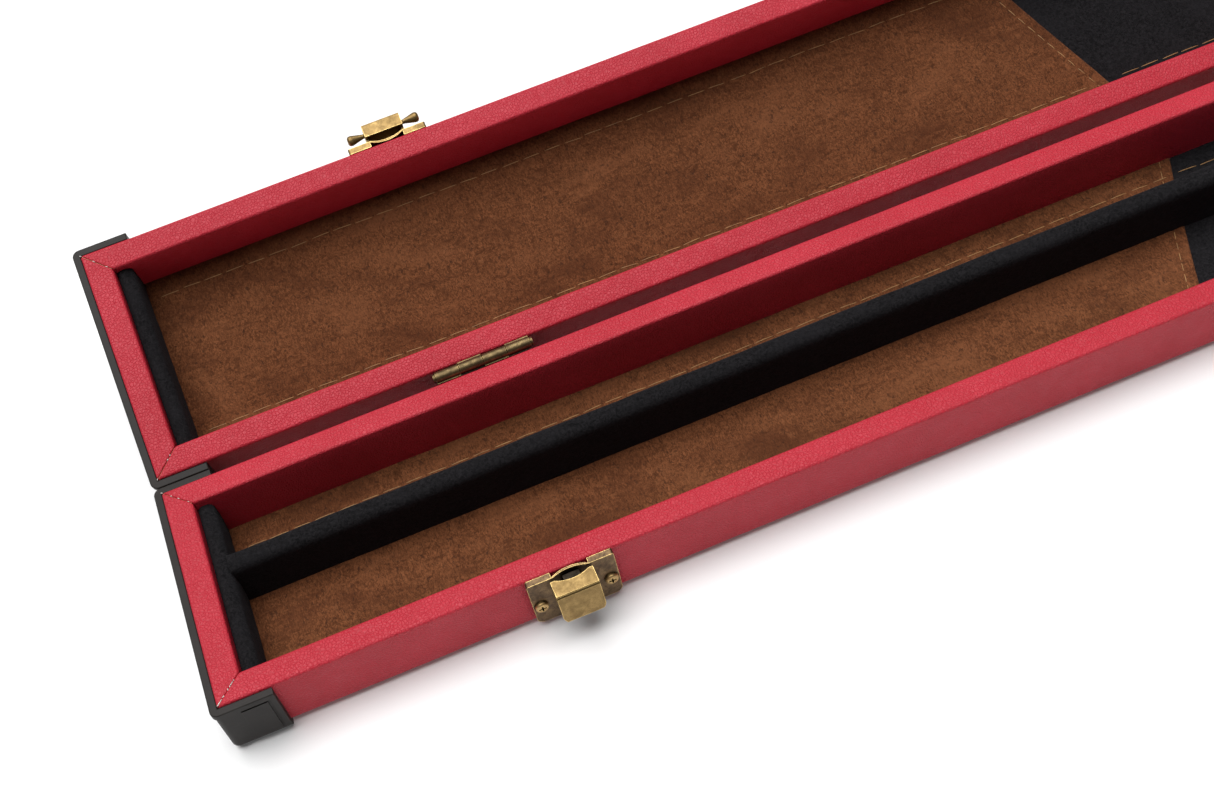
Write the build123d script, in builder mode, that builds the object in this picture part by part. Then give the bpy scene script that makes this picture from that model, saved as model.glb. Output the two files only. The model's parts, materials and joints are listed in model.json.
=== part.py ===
"""Two-compartment cue case, lying open: a base and a lid of the same shape, joined along one long edge.

Units are millimetres.  X runs along the case, +Y from the front wall to the hinge side, +Z up.
Both halves are drawn in a frame of their own: x along the half, y towards the hinges and z from the
outer face (0) up to the rim.  BASE and LID are those frames, so one function makes a piece for either.
"""
import os
from math import cos, radians, sin

from build123d import *

# ---------------------------------------------------------------- overall sizes
LENGTH = 1240.0          # over the end caps
WIDTH = 96.0             # over the leather
RIM = 27.2               # height of the rim over the surface the half rests on
OPEN_SHORT = 21.5        # how far the lid stops short of lying flat, degrees
SEAM_GAP = 0.4           # between the two rims when shut
PIN_OUT = 2.8            # hinge axis outside the back wall

# ---------------------------------------------------------------- shell of a half
LEATHER = 0.6
BOARD = 2.0
LINING = 0.6
SIDE_WALL = 10.0         # long walls, over the leather
END_WALL = 10.2          # short walls, over the leather
BOTTOM_ROUND = 3.0       # along the long outer edges
RIM_ROUND = 1.0

# ---------------------------------------------------------------- end caps
CAP_END = 2.4            # thickness on the end and on the sides
CAP_UNDER = 1.2          # thickness under the outer face: the case rests on it
CAP_WRAP = 19.0          # reach along the long walls
CAP_BELOW_RIM = 0.8
BEAD = 0.6               # the cap's bead stands this proud
BEAD_TALL = 2.6

# ---------------------------------------------------------------- inside
PAD = 6.2                # end pads
PAD_BELOW_RIM = 3.4
DIVIDER_FRONT = 4.0      # its front face, from the middle of the case
DIVIDER_WIDE = 8.6
DIVIDER_BELOW_RIM = 1.9
DIVIDER_CLOTH = 1.0
SEAM_FROM_END = (380.0, 394.5, 410.5)    # front wall, middle, hinge wall

# ---------------------------------------------------------------- hardware
HINGE_X = 490.0          # outer hinges; the third is in the middle
HINGE_LONG = 38.0
LEAF = 1.0
LEAF_TALL = 13.5
BARREL_R = 2.2
PIN_R = 1.0
RUNNING = 0.06           # radial clearance of a turning fit
LATCH_X = 491.6
PLATE_WIDE = 32.0
PLATE_TALL = 24.0
PLATE_DEEP = 2.4         # the pressed plate stands off the wall
SHEET = 0.9
LEVER_WIDE = 15.6
LEVER_PIVOT = (6.5, 12.5)    # out from the wall, down from the rim
HOOK_RISE = 6.0
# The edge between a box's top and its front: rounded, with a groove under it.
BOX_BROW = [(9.5, 0.5), (10.1, 0.7), (10.35, 1.2), (10.05, 1.65), (10.5, 2.1)]
SCREW_OUT = 13.0         # latch screws, either side of the middle
SCREW_DOWN = 13.8        # and below the rim
SHANK_R = 1.2
SHANK = 6.0
HANDLE_HALF = 50.0       # half the distance between the handle's pivots
HANDLE_DROOP = 15.5      # rest angle below level, degrees
HANDLE_PIVOT = (6.0, 13.0)   # out from the wall, down from the rim
HANDLE_REACH = 32.0      # from its pivots to the middle of its bar
GRIP_THICK = 9.0
GRIP_ROUND = 2.6

# ---------------------------------------------------------------- derived levels and faces
LEATHER_X = LENGTH / 2 - CAP_END         # end of the leather
LEATHER_Y = WIDTH / 2
CAVITY_X = LEATHER_X - END_WALL
CAVITY_Y = LEATHER_Y - SIDE_WALL
WOOD_X, WOOD_Y = LEATHER_X - LEATHER, LEATHER_Y - LEATHER
WOOD_IN_X, WOOD_IN_Y = CAVITY_X + LEATHER, CAVITY_Y + LEATHER
Z_LEATHER = CAP_UNDER
Z_WOOD = Z_LEATHER + LEATHER
Z_BOARD_TOP = Z_WOOD + BOARD
Z_FLOOR = Z_BOARD_TOP + LINING
Z_WOOD_TOP = RIM - LEATHER
PAD_X = CAVITY_X - PAD
AXIS_Y, AXIS_Z = LEATHER_Y + PIN_OUT, RIM + SEAM_GAP / 2

# ---------------------------------------------------------------- frames of the two halves
TILT = radians(OPEN_SHORT)
DROOP = radians(HANDLE_DROOP)
KEEPER_OUT, KEEPER_DOWN = 11.4, 12.5     # outermost corner of the keeper, the rearmost point
GRIP_CORE = GRIP_THICK / 2 - GRIP_ROUND
FRONT_REACH = (LEATHER_Y + HANDLE_PIVOT[0] + (HANDLE_REACH + GRIP_CORE) * cos(DROOP)
               + GRIP_CORE * sin(DROOP) + GRIP_ROUND)
BACK_REACH = (AXIS_Y + (PIN_OUT + WIDTH + KEEPER_OUT) * cos(TILT)
              + (KEEPER_DOWN + SEAM_GAP / 2) * sin(TILT))
BASE_Y = (FRONT_REACH - BACK_REACH) / 2  # puts the origin midway between front and back

BASE = Plane(origin=(0, BASE_Y, 0))
AXIS_POINT = Vector(0, BASE_Y + AXIS_Y, AXIS_Z)
LID_Y_DIR = Vector(0, -cos(TILT), -sin(TILT))
LID_Z_DIR = Vector(0, -sin(TILT), cos(TILT))
LID = Plane(origin=AXIS_POINT - LID_Y_DIR * AXIS_Y - LID_Z_DIR * AXIS_Z,
            x_dir=(-1, 0, 0), z_dir=LID_Z_DIR)

os.makedirs("parts", exist_ok=True)


def save(piece, name):
    """Label a finished piece and write it as one node."""
    piece.part.label = name
    export_step(piece.part, f"parts/{name}.step")


def side_plane(half, x):
    """Cross-section plane at x: sketch x is the half's y, sketch y is its z."""
    return Plane(origin=half.from_local_coords((x, 0, 0)), x_dir=half.y_dir, z_dir=half.x_dir)


def front_plane(half, y=-LEATHER_Y):
    """Wall plane facing the front: sketch x and y are the half's x and z, extruding goes outwards."""
    return Plane(origin=half.from_local_coords((0, y, 0)), x_dir=half.x_dir, z_dir=half.y_dir * -1)


def back_plane(half, y=LEATHER_Y):
    """Wall plane facing the hinge side: sketch x is the half's -x, extruding goes outwards."""
    return Plane(origin=half.from_local_coords((0, y, 0)), x_dir=half.x_dir * -1, z_dir=half.y_dir)


def up(half):
    """Axis from the outer face to the rim."""
    return Axis(half.origin, half.z_dir)


def rectangle(x0, x1, y0, y1, mode=Mode.ADD):
    """Rectangle between two pairs of limits."""
    with Locations(((x0 + x1) / 2, (y0 + y1) / 2)):
        Rectangle(abs(x1 - x0), abs(y1 - y0), mode=mode)


# ---------------------------------------------------------------- fastener places, in a half's frame
def beside(x_middle, out):
    """Two places, either side of a middle one."""
    return [(x_middle - out, 0), (x_middle + out, 0)]


def latch_screws():
    return [(x, RIM - SCREW_DOWN) for m in (-LATCH_X, LATCH_X) for x, _ in beside(m, SCREW_OUT)]


def handle_screws():
    level = RIM - HANDLE_PIVOT[1]
    return [(x, level) for m in (-HANDLE_HALF, HANDLE_HALF) for x, _ in beside(m, 9.5)]


def hinge_screws():
    return [(x, RIM - 9.5) for m in (-HINGE_X, 0, HINGE_X) for x, _ in beside(m, 12)]


def drill(places, plane, depth):
    """Pilot holes for screws, in from a wall's face."""
    with BuildSketch(plane) as holes:
        with Locations(*places):
            Circle(SHANK_R)
    extrude(holes.sketch, amount=-depth, mode=Mode.SUBTRACT)


# ---------------------------------------------------------------- wooden shell
def panel(half):
    with BuildPart() as piece:
        with BuildSketch(half.offset(Z_WOOD)):
            Rectangle(2 * WOOD_IN_X, 2 * WOOD_IN_Y)
        extrude(amount=BOARD)
    return piece


def rail_profile(inner, outer):
    """Upright section of a wall with its outer lower corner rounded; outer may be negative."""
    rectangle(inner, outer, Z_WOOD, Z_WOOD_TOP)
    low = vertices().group_by(Axis.Y)[0].sort_by(Axis.X)
    fillet(low[-1] if outer > 0 else low[0], BOTTOM_ROUND - LEATHER)


def long_rail(half, side, holes):
    plane = front_plane(half) if side < 0 else back_plane(half)
    with BuildPart() as piece:
        with BuildSketch(side_plane(half, -WOOD_X)):
            rail_profile(side * WOOD_IN_Y, side * WOOD_Y)
        extrude(amount=2 * WOOD_X)
        drill(holes, plane, SHANK)
    return piece


def end_rail(half, side):
    with BuildPart() as piece:
        with BuildSketch(half.offset(Z_WOOD)):
            rectangle(side * WOOD_IN_X, side * WOOD_X, -WOOD_IN_Y, WOOD_IN_Y)
        extrude(amount=Z_WOOD_TOP - Z_WOOD)
    return piece


def leather_cover(half, front_holes):
    """One skin over the outside, the rim and the inner walls."""
    with BuildPart() as piece:
        with BuildSketch(side_plane(half, -LEATHER_X)):
            rectangle(-LEATHER_Y, LEATHER_Y, Z_LEATHER, RIM)
            fillet(vertices().group_by(Axis.Y)[0], BOTTOM_ROUND)
            fillet(vertices().group_by(Axis.Y)[-1], RIM_ROUND)
        extrude(amount=2 * LEATHER_X)
        with BuildSketch(side_plane(half, -WOOD_X)):
            rectangle(-WOOD_Y, WOOD_Y, Z_WOOD, Z_WOOD_TOP)
            fillet(vertices().group_by(Axis.Y)[0], BOTTOM_ROUND - LEATHER)
        extrude(amount=2 * WOOD_X, mode=Mode.SUBTRACT)
        with BuildSketch(half.offset(Z_BOARD_TOP)):
            Rectangle(2 * WOOD_IN_X, 2 * WOOD_IN_Y)
        extrude(amount=Z_WOOD_TOP - Z_BOARD_TOP)
        with BuildSketch(half.offset(Z_BOARD_TOP)):
            Rectangle(2 * CAVITY_X, 2 * CAVITY_Y)
        extrude(amount=RIM - Z_BOARD_TOP, mode=Mode.SUBTRACT)
        drill(front_holes, front_plane(half), LEATHER)
        drill(hinge_screws(), back_plane(half), LEATHER)
    return piece


# ---------------------------------------------------------------- soft furnishing
def seam_points(side):
    """The lining seam from the front wall to the back wall, on one side of the middle."""
    return [(side * (LEATHER_X - reach), y)
            for reach, y in zip(SEAM_FROM_END, (-CAVITY_Y, 0, CAVITY_Y))]


def lining_end(half, side):
    """Suede patch from an end pad to the curved seam."""
    front, middle, back = seam_points(side)
    with BuildPart() as piece:
        with BuildSketch(half.offset(Z_BOARD_TOP)):
            with BuildLine():
                ThreePointArc(front, middle, back)
                Polyline(back, (side * PAD_X, CAVITY_Y), (side * PAD_X, -CAVITY_Y), front)
            make_face()
        extrude(amount=LINING)
    return piece


def lining_middle(half):
    """Black cloth between the two seams."""
    left, right = seam_points(-1), seam_points(1)
    with BuildPart() as piece:
        with BuildSketch(half.offset(Z_BOARD_TOP)):
            with BuildLine():
                ThreePointArc(*left)
                Line(left[2], right[2])
                ThreePointArc(*reversed(right))
                Line(right[0], left[0])
            make_face()
        extrude(amount=LINING)
    return piece


def end_pad(half, side):
    with BuildPart() as piece:
        with BuildSketch(front_plane(half, -CAVITY_Y)):
            rectangle(side * PAD_X, side * CAVITY_X, Z_BOARD_TOP, RIM - PAD_BELOW_RIM)
            fillet(vertices().group_by(Axis.Y)[-1], 2.0)
        extrude(amount=-2 * CAVITY_Y)
    return piece


def divider_profile(skin):
    """Bar section with a rounded top, drawn in by the thickness of the cloth."""
    rectangle(DIVIDER_FRONT + skin, DIVIDER_FRONT + DIVIDER_WIDE - skin,
              Z_FLOOR, RIM - DIVIDER_BELOW_RIM - skin)
    fillet(vertices().group_by(Axis.Y)[-1], 3.0 - skin)


def divider_core():
    with BuildPart() as piece:
        with BuildSketch(side_plane(BASE, -PAD_X)):
            divider_profile(DIVIDER_CLOTH)
        extrude(amount=2 * PAD_X)
    return piece


def divider_cover():
    with BuildPart() as piece:
        with BuildSketch(side_plane(BASE, -PAD_X)):
            divider_profile(0)
        extrude(amount=2 * PAD_X)
        with BuildSketch(side_plane(BASE, -PAD_X)):
            divider_profile(DIVIDER_CLOTH)
        extrude(amount=2 * PAD_X, mode=Mode.SUBTRACT)
    return piece


# ---------------------------------------------------------------- end caps
def end_cap(half, side):
    """Moulded cup over the end of a half, with a bead along its upper edge and round its open ends."""
    outer_x, inner_x = LENGTH / 2, LEATHER_X - CAP_WRAP
    outer_y, top = LEATHER_Y + CAP_END, RIM - CAP_BELOW_RIM
    along = Axis(half.origin, half.x_dir * side)
    with BuildPart() as piece:
        with BuildSketch(side_plane(half, side * inner_x)):
            rectangle(-outer_y, outer_y, 0, top)
            fillet(vertices().group_by(Axis.Y)[0], BOTTOM_ROUND + 1.6)
        extrude(amount=side * (outer_x - inner_x))
        end_edges = faces().sort_by(along)[-1].edges()
        fillet(end_edges.sort_by(up(half))[:-1], 2.2)
        with BuildSketch(half.offset(top - BEAD_TALL)) as bead:
            rectangle(side * inner_x, side * (outer_x + BEAD), -outer_y - BEAD, outer_y + BEAD)
            fillet(vertices().group_by(Axis.X)[-1 if side > 0 else 0], 2.8)
        extrude(amount=BEAD_TALL)
        for wall in (front_plane(half, -outer_y), back_plane(half, outer_y)):
            flip = side if wall.x_dir.dot(half.x_dir) > 0 else -side
            with BuildSketch(wall):
                rectangle(flip * (LEATHER_X - 16.0), flip * (LEATHER_X - 6.6), 5, top - BEAD_TALL - 1)
            extrude(amount=0.5)
            with BuildSketch(wall):
                rectangle(flip * inner_x, flip * (inner_x + 1.8), 4.8, top - 1)
            extrude(amount=BEAD)
        with BuildSketch(side_plane(half, side * inner_x)):
            rectangle(-LEATHER_Y, LEATHER_Y, CAP_UNDER, RIM)
            fillet(vertices().group_by(Axis.Y)[0], BOTTOM_ROUND)
        extrude(amount=side * (LEATHER_X - inner_x), mode=Mode.SUBTRACT)
        rim_edges = faces().sort_by(up(half))[-1].outer_wire().edges()
        fillet(rim_edges.filter_by(lambda e: e.length > 3), 0.5)
    return piece


# ---------------------------------------------------------------- hinges
def hinge_leaf(half, x, first, bore):
    """Leaf with two of the four knuckles; first is 0 or 1, counted along the half's x."""
    pitch = HINGE_LONG / 4
    with BuildPart() as piece:
        with BuildSketch(back_plane(half)):
            with Locations((-x, RIM - 2.5 - LEAF_TALL / 2)):
                RectangleRounded(HINGE_LONG, LEAF_TALL, 1.0)
        extrude(amount=LEAF)
        for index in (first, first + 2):
            start = x - HINGE_LONG / 2 + index * pitch + 0.15
            with BuildSketch(side_plane(half, start)):
                rectangle(LEATHER_Y, LEATHER_Y + LEAF + 0.2, RIM - 4, RIM - 0.1)
                with Locations((AXIS_Y, AXIS_Z)):
                    Circle(BARREL_R)
                with Locations((AXIS_Y, AXIS_Z)):
                    Circle(bore, mode=Mode.SUBTRACT)
            extrude(amount=pitch - 0.3)
        with BuildSketch(back_plane(half)):
            with Locations(*[(-x + s * 12, RIM - 9.5) for s in (-1, 1)]):
                Circle(SHANK_R)
        extrude(amount=LEAF, mode=Mode.SUBTRACT)
    return piece


def hinge_pin(x):
    with BuildPart() as piece:
        with BuildSketch(side_plane(BASE, x - HINGE_LONG / 2 - 0.5)):
            with Locations((AXIS_Y, AXIS_Z)):
                Circle(PIN_R)
        extrude(amount=HINGE_LONG + 1)
        for end, way in ((x - HINGE_LONG / 2, -1), (x + HINGE_LONG / 2, 1)):
            with BuildSketch(side_plane(BASE, end + way * 0.1)):
                with Locations((AXIS_Y, AXIS_Z)):
                    Circle(BARREL_R - 0.5)
            extrude(amount=way * 0.8)
    return piece


# ---------------------------------------------------------------- fasteners
def cross_screws(plane, places, stand, head_r=2.5, head=1.6):
    """Pan-head screws with a cross recess; stand is the height of the seat over the wall."""
    with BuildPart() as piece:
        with BuildSketch(plane.offset(stand)):
            with Locations(*places):
                Circle(head_r)
        extrude(amount=head)
        rims = edges().filter_by(GeomType.CIRCLE).group_by(Axis(plane.origin, plane.z_dir))[-1]
        fillet(rims, head * 0.55)
        with BuildSketch(plane.offset(stand + head)):
            with Locations(*places):
                Rectangle(0.7, head_r * 1.15)
                Rectangle(head_r * 1.15, 0.7)
        extrude(amount=-head * 0.55, mode=Mode.SUBTRACT)
        with BuildSketch(plane.offset(stand)):
            with Locations(*places):
                Circle(SHANK_R)
        extrude(amount=-stand - SHANK)
    return piece


# ---------------------------------------------------------------- latches
def wall_point(out, down):
    """Point in a cross-section sketch: distance out from the front wall and down from the rim."""
    return (-LEATHER_Y - out, RIM - down)


def tray(half, x):
    """Pressed plate standing off the wall, with an arched mouth in its upper edge.  Joins the open part."""
    half_wide, top, mouth = PLATE_WIDE / 2, RIM - 0.3, 6.8
    near, far = -LEATHER_Y - PLATE_DEEP, -LEATHER_Y - 0.3
    with BuildSketch(front_plane(half)) as plate:
        rectangle(x - half_wide, x + half_wide, top - PLATE_TALL, top)
        fillet(vertices().group_by(Axis.Y)[0], 3.0)
        fillet(vertices().group_by(Axis.Y)[-1], 0.8)
    extrude(plate.sketch, amount=PLATE_DEEP)
    with BuildSketch(front_plane(half)) as hollow:
        rectangle(x - half_wide + SHEET, x + half_wide - SHEET, top - PLATE_TALL + SHEET, top - SHEET)
        fillet(vertices().group_by(Axis.Y)[0], 2.2)
    extrude(hollow.sketch, amount=PLATE_DEEP - SHEET, mode=Mode.SUBTRACT)
    with BuildSketch(front_plane(half)) as openings:
        rectangle(x - mouth, x + mouth, RIM - 11.8, RIM)
        with Locations(*[(place[0], RIM - SCREW_DOWN) for place in beside(x, SCREW_OUT)]):
            Circle(SHANK_R)
    extrude(openings.sketch, amount=PLATE_DEEP, mode=Mode.SUBTRACT)
    with BuildSketch(half.offset(top - 7)) as lip:
        with BuildLine():
            ThreePointArc((x - mouth - 0.6, near), (x, far), (x + mouth + 0.6, near))
            Line((x + mouth + 0.6, near), (x + mouth - 0.4, near))
            ThreePointArc((x + mouth - 0.4, near), (x, far - 0.8), (x - mouth + 0.4, near))
            Line((x - mouth + 0.4, near), (x - mouth - 0.6, near))
        make_face()
    extrude(lip.sketch, amount=7)


def box_outline(corners):
    """Closed cross-section through points given as (out, down)."""
    Polygon(*[wall_point(*corner) for corner in corners], align=None)


def arch(half, x):
    """Scoops the box's upper plate back from the mouth."""
    scoop, chord = 1.5, 6.2
    radius = (chord ** 2 + scoop ** 2) / (2 * scoop)
    with BuildSketch(half.offset(RIM - 2.5)) as scooped:
        with Locations((x, -LEATHER_Y - 3.75 - scoop + radius)):
            Circle(radius)
        rectangle(x - chord, x + chord, -LEATHER_Y - 6, -LEATHER_Y - 3.2, mode=Mode.INTERSECT)
    extrude(scooped.sketch, amount=2.5, mode=Mode.SUBTRACT)


def latch_plate(half, x):
    with BuildPart() as piece:
        tray(half, x)
        for side in (-1, 1):
            with BuildSketch(side_plane(half, x + side * 5.6)):
                box_outline([(PLATE_DEEP - SHEET, 10.6), (6.8, 10.6), (8.4, 12.5),
                             (6.8, 14.4), (PLATE_DEEP - SHEET, 14.4)])
                with Locations(wall_point(*LEVER_PIVOT)):
                    Circle(PIN_R, mode=Mode.SUBTRACT)
            extrude(amount=side * 0.9)
    return piece


def lever(half, x):
    """Hollow box lever; its inner side is open towards the plate."""
    wide = LEVER_WIDE / 2
    with BuildPart() as piece:
        with BuildSketch(side_plane(half, x - wide)):
            box_outline([(3.75, 0.5), *BOX_BROW, (12.4, 14.3), (8.6, 15.3), (4.4, 14.3)])
        extrude(amount=LEVER_WIDE)
        with BuildSketch(front_plane(half)):
            rectangle(x - wide, x + wide, RIM - 15.4, RIM)
            fillet(vertices().group_by(Axis.Y)[0], 4.0)
        extrude(amount=14, mode=Mode.INTERSECT)
        with BuildSketch(side_plane(half, x - wide + SHEET)):
            box_outline([(3, 1.4), (9.5, 1.4), (11.5, 16), (3, 16)])
        extrude(amount=LEVER_WIDE - 2 * SHEET, mode=Mode.SUBTRACT)
        with BuildSketch(side_plane(half, x - wide)):
            with Locations(wall_point(*LEVER_PIVOT)):
                Circle(PIN_R + RUNNING)
        extrude(amount=LEVER_WIDE, mode=Mode.SUBTRACT)
        arch(half, x)
    return piece


def hook(half, x):
    """Flat hook that slides up behind the lever; its nose points outwards."""
    with BuildPart() as piece:
        with BuildSketch(side_plane(half, x - 3)):
            box_outline([(1.8, 2.0), (4.6, 2.0), (4.6, 3.1), (3.0, 3.5), (3.0, 11.4), (1.8, 11.4)])
        extrude(amount=6)
    return piece


def keeper(half, x):
    """The lid's plate, made like the latch plate, with a fixed box over its mouth."""
    wide = LEVER_WIDE / 2
    with BuildPart() as piece:
        tray(half, x)
        with BuildSketch(side_plane(half, x - wide)):
            box_outline([(4.95, 0.5), *BOX_BROW, (KEEPER_OUT, KEEPER_DOWN), (8.0, 14.2),
                         (PLATE_DEEP - 0.4, 14.2), (PLATE_DEEP - 0.4, 3.0), (4.95, 3.0)])
        extrude(amount=LEVER_WIDE)
        with BuildSketch(side_plane(half, x - wide + SHEET)):
            box_outline([(1.0, 1.4), (9.5, 1.4), (10.4, 12.1), (7.6, 13.3), (2.4, 13.3), (1.0, 11.0)])
        extrude(amount=LEVER_WIDE - 2 * SHEET, mode=Mode.SUBTRACT)
        with BuildSketch(side_plane(half, x - wide)):
            with Locations(wall_point(6.6, 2.7)):
                Circle(0.9)
        extrude(amount=LEVER_WIDE, mode=Mode.SUBTRACT)
    return piece


def cross_pin(half, x, place, radius, half_long):
    """Plain pin across a latch."""
    with BuildPart() as piece:
        with BuildSketch(side_plane(half, x - half_long)):
            with Locations(wall_point(*place)):
                Circle(radius)
        extrude(amount=2 * half_long)
    return piece


def keeper_pin(half, x):
    """Pin across the keeper's mouth, flaring to a rounded knob at each end."""
    place = wall_point(6.6, 2.7)
    with BuildPart() as piece:
        with BuildSketch(side_plane(half, x - 14)):
            with Locations(place):
                Circle(0.9)
        extrude(amount=28)
        for side in (-1, 1):
            for reach, radius in ((8.6, 0.95), (13.0, 2.0)):
                with BuildSketch(side_plane(half, x + side * reach)):
                    with Locations(place):
                        Circle(radius)
            loft()
            with BuildSketch(side_plane(half, x + side * 13.0)):
                with Locations(place):
                    Circle(2.0)
            extrude(amount=side * 1.8)
        rims = edges().filter_by(GeomType.CIRCLE).filter_by(lambda e: e.radius > 1.5).sort_by(Axis.X)
        fillet([rims[0], rims[-1]], 1.2)
    return piece


# ---------------------------------------------------------------- carrying handle
def handle_bracket(x):
    """Plate with two ears that hold one end of the handle."""
    out, down = HANDLE_PIVOT
    with BuildPart() as piece:
        with BuildSketch(front_plane(BASE)):
            with Locations((x, RIM - down)):
                RectangleRounded(26.0, 17.0, 3.0)
        extrude(amount=1.2)
        for side in (-1, 1):
            with BuildSketch(side_plane(BASE, x + side * 4.4)):
                box_outline([(1.0, down - 5), (out, down - 3.4), (out, down + 3.4), (1.0, down + 5)])
                with Locations(wall_point(out, down)):
                    Circle(3.4)
                    Circle(1.5, mode=Mode.SUBTRACT)
            extrude(amount=side * 1.6)
        with BuildSketch(front_plane(BASE)):
            with Locations(*[(x + s * 9.5, RIM - down) for s in (-1, 1)]):
                Circle(SHANK_R)
        extrude(amount=1.2, mode=Mode.SUBTRACT)
    return piece


def handle_pins():
    out, down = HANDLE_PIVOT
    with BuildPart() as piece:
        for x in (-HANDLE_HALF, HANDLE_HALF):
            with BuildSketch(side_plane(BASE, x - 6)):
                with Locations(wall_point(out, down)):
                    Circle(1.5)
            extrude(amount=12)
    return piece


def handle_grip():
    """Bow-shaped grip; it droops from its pivots towards the surface the case lies on."""
    out, down = HANDLE_PIVOT
    pivot = BASE.from_local_coords((0, -LEATHER_Y - out, RIM - down))
    level = Plane(origin=pivot, x_dir=(1, 0, 0), z_dir=(0, -sin(DROOP), cos(DROOP)))
    wide, thick = 8.4, GRIP_THICK
    with BuildPart() as piece:
        with BuildSketch(level.offset(-thick / 2)):
            rectangle(-HANDLE_HALF - wide / 2, HANDLE_HALF + wide / 2, -HANDLE_REACH - thick / 2, 0)
            fillet(vertices().group_by(Axis.Y)[0], 16.0)
            rectangle(-HANDLE_HALF + wide / 2, HANDLE_HALF - wide / 2, -HANDLE_REACH + 6, 10,
                      mode=Mode.SUBTRACT)
            fillet(vertices().group_by(Axis.Y)[-3], 9.0)
        extrude(amount=thick)
        fillet(edges().filter_by(lambda e: abs(e.tangent_at(0.5).dot(level.z_dir)) < 0.01
                                 and level.to_local_coords(e.center()).Y < -6), GRIP_ROUND)
        for x in (-HANDLE_HALF, HANDLE_HALF):
            eye = Plane(origin=level.from_local_coords((x - wide / 2, 0, 0)),
                        x_dir=level.y_dir, z_dir=level.x_dir)
            with BuildSketch(eye):
                Circle(thick / 2)
            extrude(amount=wide)
            with BuildSketch(eye):
                Circle(1.5 + RUNNING)
            extrude(amount=wide, mode=Mode.SUBTRACT)
    return piece


# ---------------------------------------------------------------- both halves
for half, name, turn in ((BASE, "base", 1), (LID, "lid", -1)):
    front_holes = latch_screws() + (handle_screws() if name == "base" else [])
    save(panel(half), f"{name}_panel")
    save(long_rail(half, -1, front_holes), f"{name}_front_rail")
    save(long_rail(half, 1, hinge_screws()), f"{name}_back_rail")
    save(leather_cover(half, front_holes), f"{name}_cover")
    save(lining_middle(half), f"{name}_lining_middle")
    for side, where in ((-turn, "left"), (turn, "right")):
        save(end_rail(half, side), f"{name}_{where}_rail")
        save(lining_end(half, side), f"{name}_lining_{where}")
        save(end_pad(half, side), f"{name}_{where}_pad")
        save(end_cap(half, side), f"{name}_{where}_cap")
    for x, where in ((-HINGE_X, "left"), (0, "middle"), (HINGE_X, "right")):
        bore = PIN_R if name == "base" else PIN_R + RUNNING
        save(hinge_leaf(half, turn * x, 0, bore), f"{name}_hinge_{where}")
    save(cross_screws(back_plane(half), hinge_screws(), LEAF, 1.9, 0.5), f"{name}_hinge_screws")

# ---------------------------------------------------------------- pieces of the base alone
save(divider_core(), "divider_core")
save(divider_cover(), "divider_cover")
for x, where in ((-HINGE_X, "left"), (0, "middle"), (HINGE_X, "right")):
    save(hinge_pin(x), f"hinge_pin_{where}")
for x, where in ((-LATCH_X, "left"), (LATCH_X, "right")):
    save(latch_plate(BASE, x), f"latch_plate_{where}")
    save(lever(BASE, x), f"latch_lever_{where}")
    save(cross_pin(BASE, x, LEVER_PIVOT, PIN_R, LEVER_WIDE / 2), f"lever_pin_{where}")
    save(hook(BASE, x), f"latch_hook_{where}")
    save(keeper(LID, -x), f"keeper_{where}")
    save(keeper_pin(LID, -x), f"keeper_pin_{where}")
save(cross_screws(front_plane(BASE), latch_screws(), PLATE_DEEP), "latch_screws")
save(cross_screws(front_plane(LID), latch_screws(), PLATE_DEEP), "keeper_screws")
for x, where in ((-HANDLE_HALF, "left"), (HANDLE_HALF, "right")):
    save(handle_bracket(x), f"handle_bracket_{where}")
save(handle_pins(), "handle_pins")
save(cross_screws(front_plane(BASE), handle_screws(), 1.2, 2.0, 1.2), "handle_screws")
save(handle_grip(), "handle_grip")
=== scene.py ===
"""Looks of the open cue case: leather, suede, cloth, thread, brass and plastic.

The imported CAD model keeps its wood, brass and plastic pieces. The soft ones are replaced by detailed meshes.
"""

import json
import math
import random

import bmesh
import bpy
from mathutils import Matrix, Vector


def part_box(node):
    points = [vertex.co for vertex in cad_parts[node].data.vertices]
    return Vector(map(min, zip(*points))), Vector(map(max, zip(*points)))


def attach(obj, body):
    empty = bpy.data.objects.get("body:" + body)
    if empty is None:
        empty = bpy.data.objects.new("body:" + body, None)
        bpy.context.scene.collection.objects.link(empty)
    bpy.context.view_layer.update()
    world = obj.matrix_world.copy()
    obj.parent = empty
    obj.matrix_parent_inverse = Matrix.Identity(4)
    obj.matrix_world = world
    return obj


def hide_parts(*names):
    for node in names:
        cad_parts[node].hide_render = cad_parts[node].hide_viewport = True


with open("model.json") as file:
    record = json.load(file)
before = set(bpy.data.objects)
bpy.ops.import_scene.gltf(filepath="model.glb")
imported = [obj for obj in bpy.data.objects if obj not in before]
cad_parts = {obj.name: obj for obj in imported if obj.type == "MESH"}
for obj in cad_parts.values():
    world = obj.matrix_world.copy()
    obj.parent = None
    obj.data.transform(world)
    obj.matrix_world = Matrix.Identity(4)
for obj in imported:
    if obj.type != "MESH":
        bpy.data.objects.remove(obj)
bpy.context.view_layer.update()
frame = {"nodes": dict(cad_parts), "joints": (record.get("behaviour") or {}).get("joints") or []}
nodes = frame["nodes"]
dice = random.Random(7)

MM = 0.001

# ---------------------------------------------------------------- camera
CAMERA_AT = Vector((-0.5178, -0.4070, 0.5227))
LOOK = Vector((0.0994, 0.6082, -0.7876)).normalized()
TO_THE_RIGHT = Vector((0.9247, -0.3487, -0.1526))
LENS, SENSOR = 51.5, 36           # mm

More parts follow.
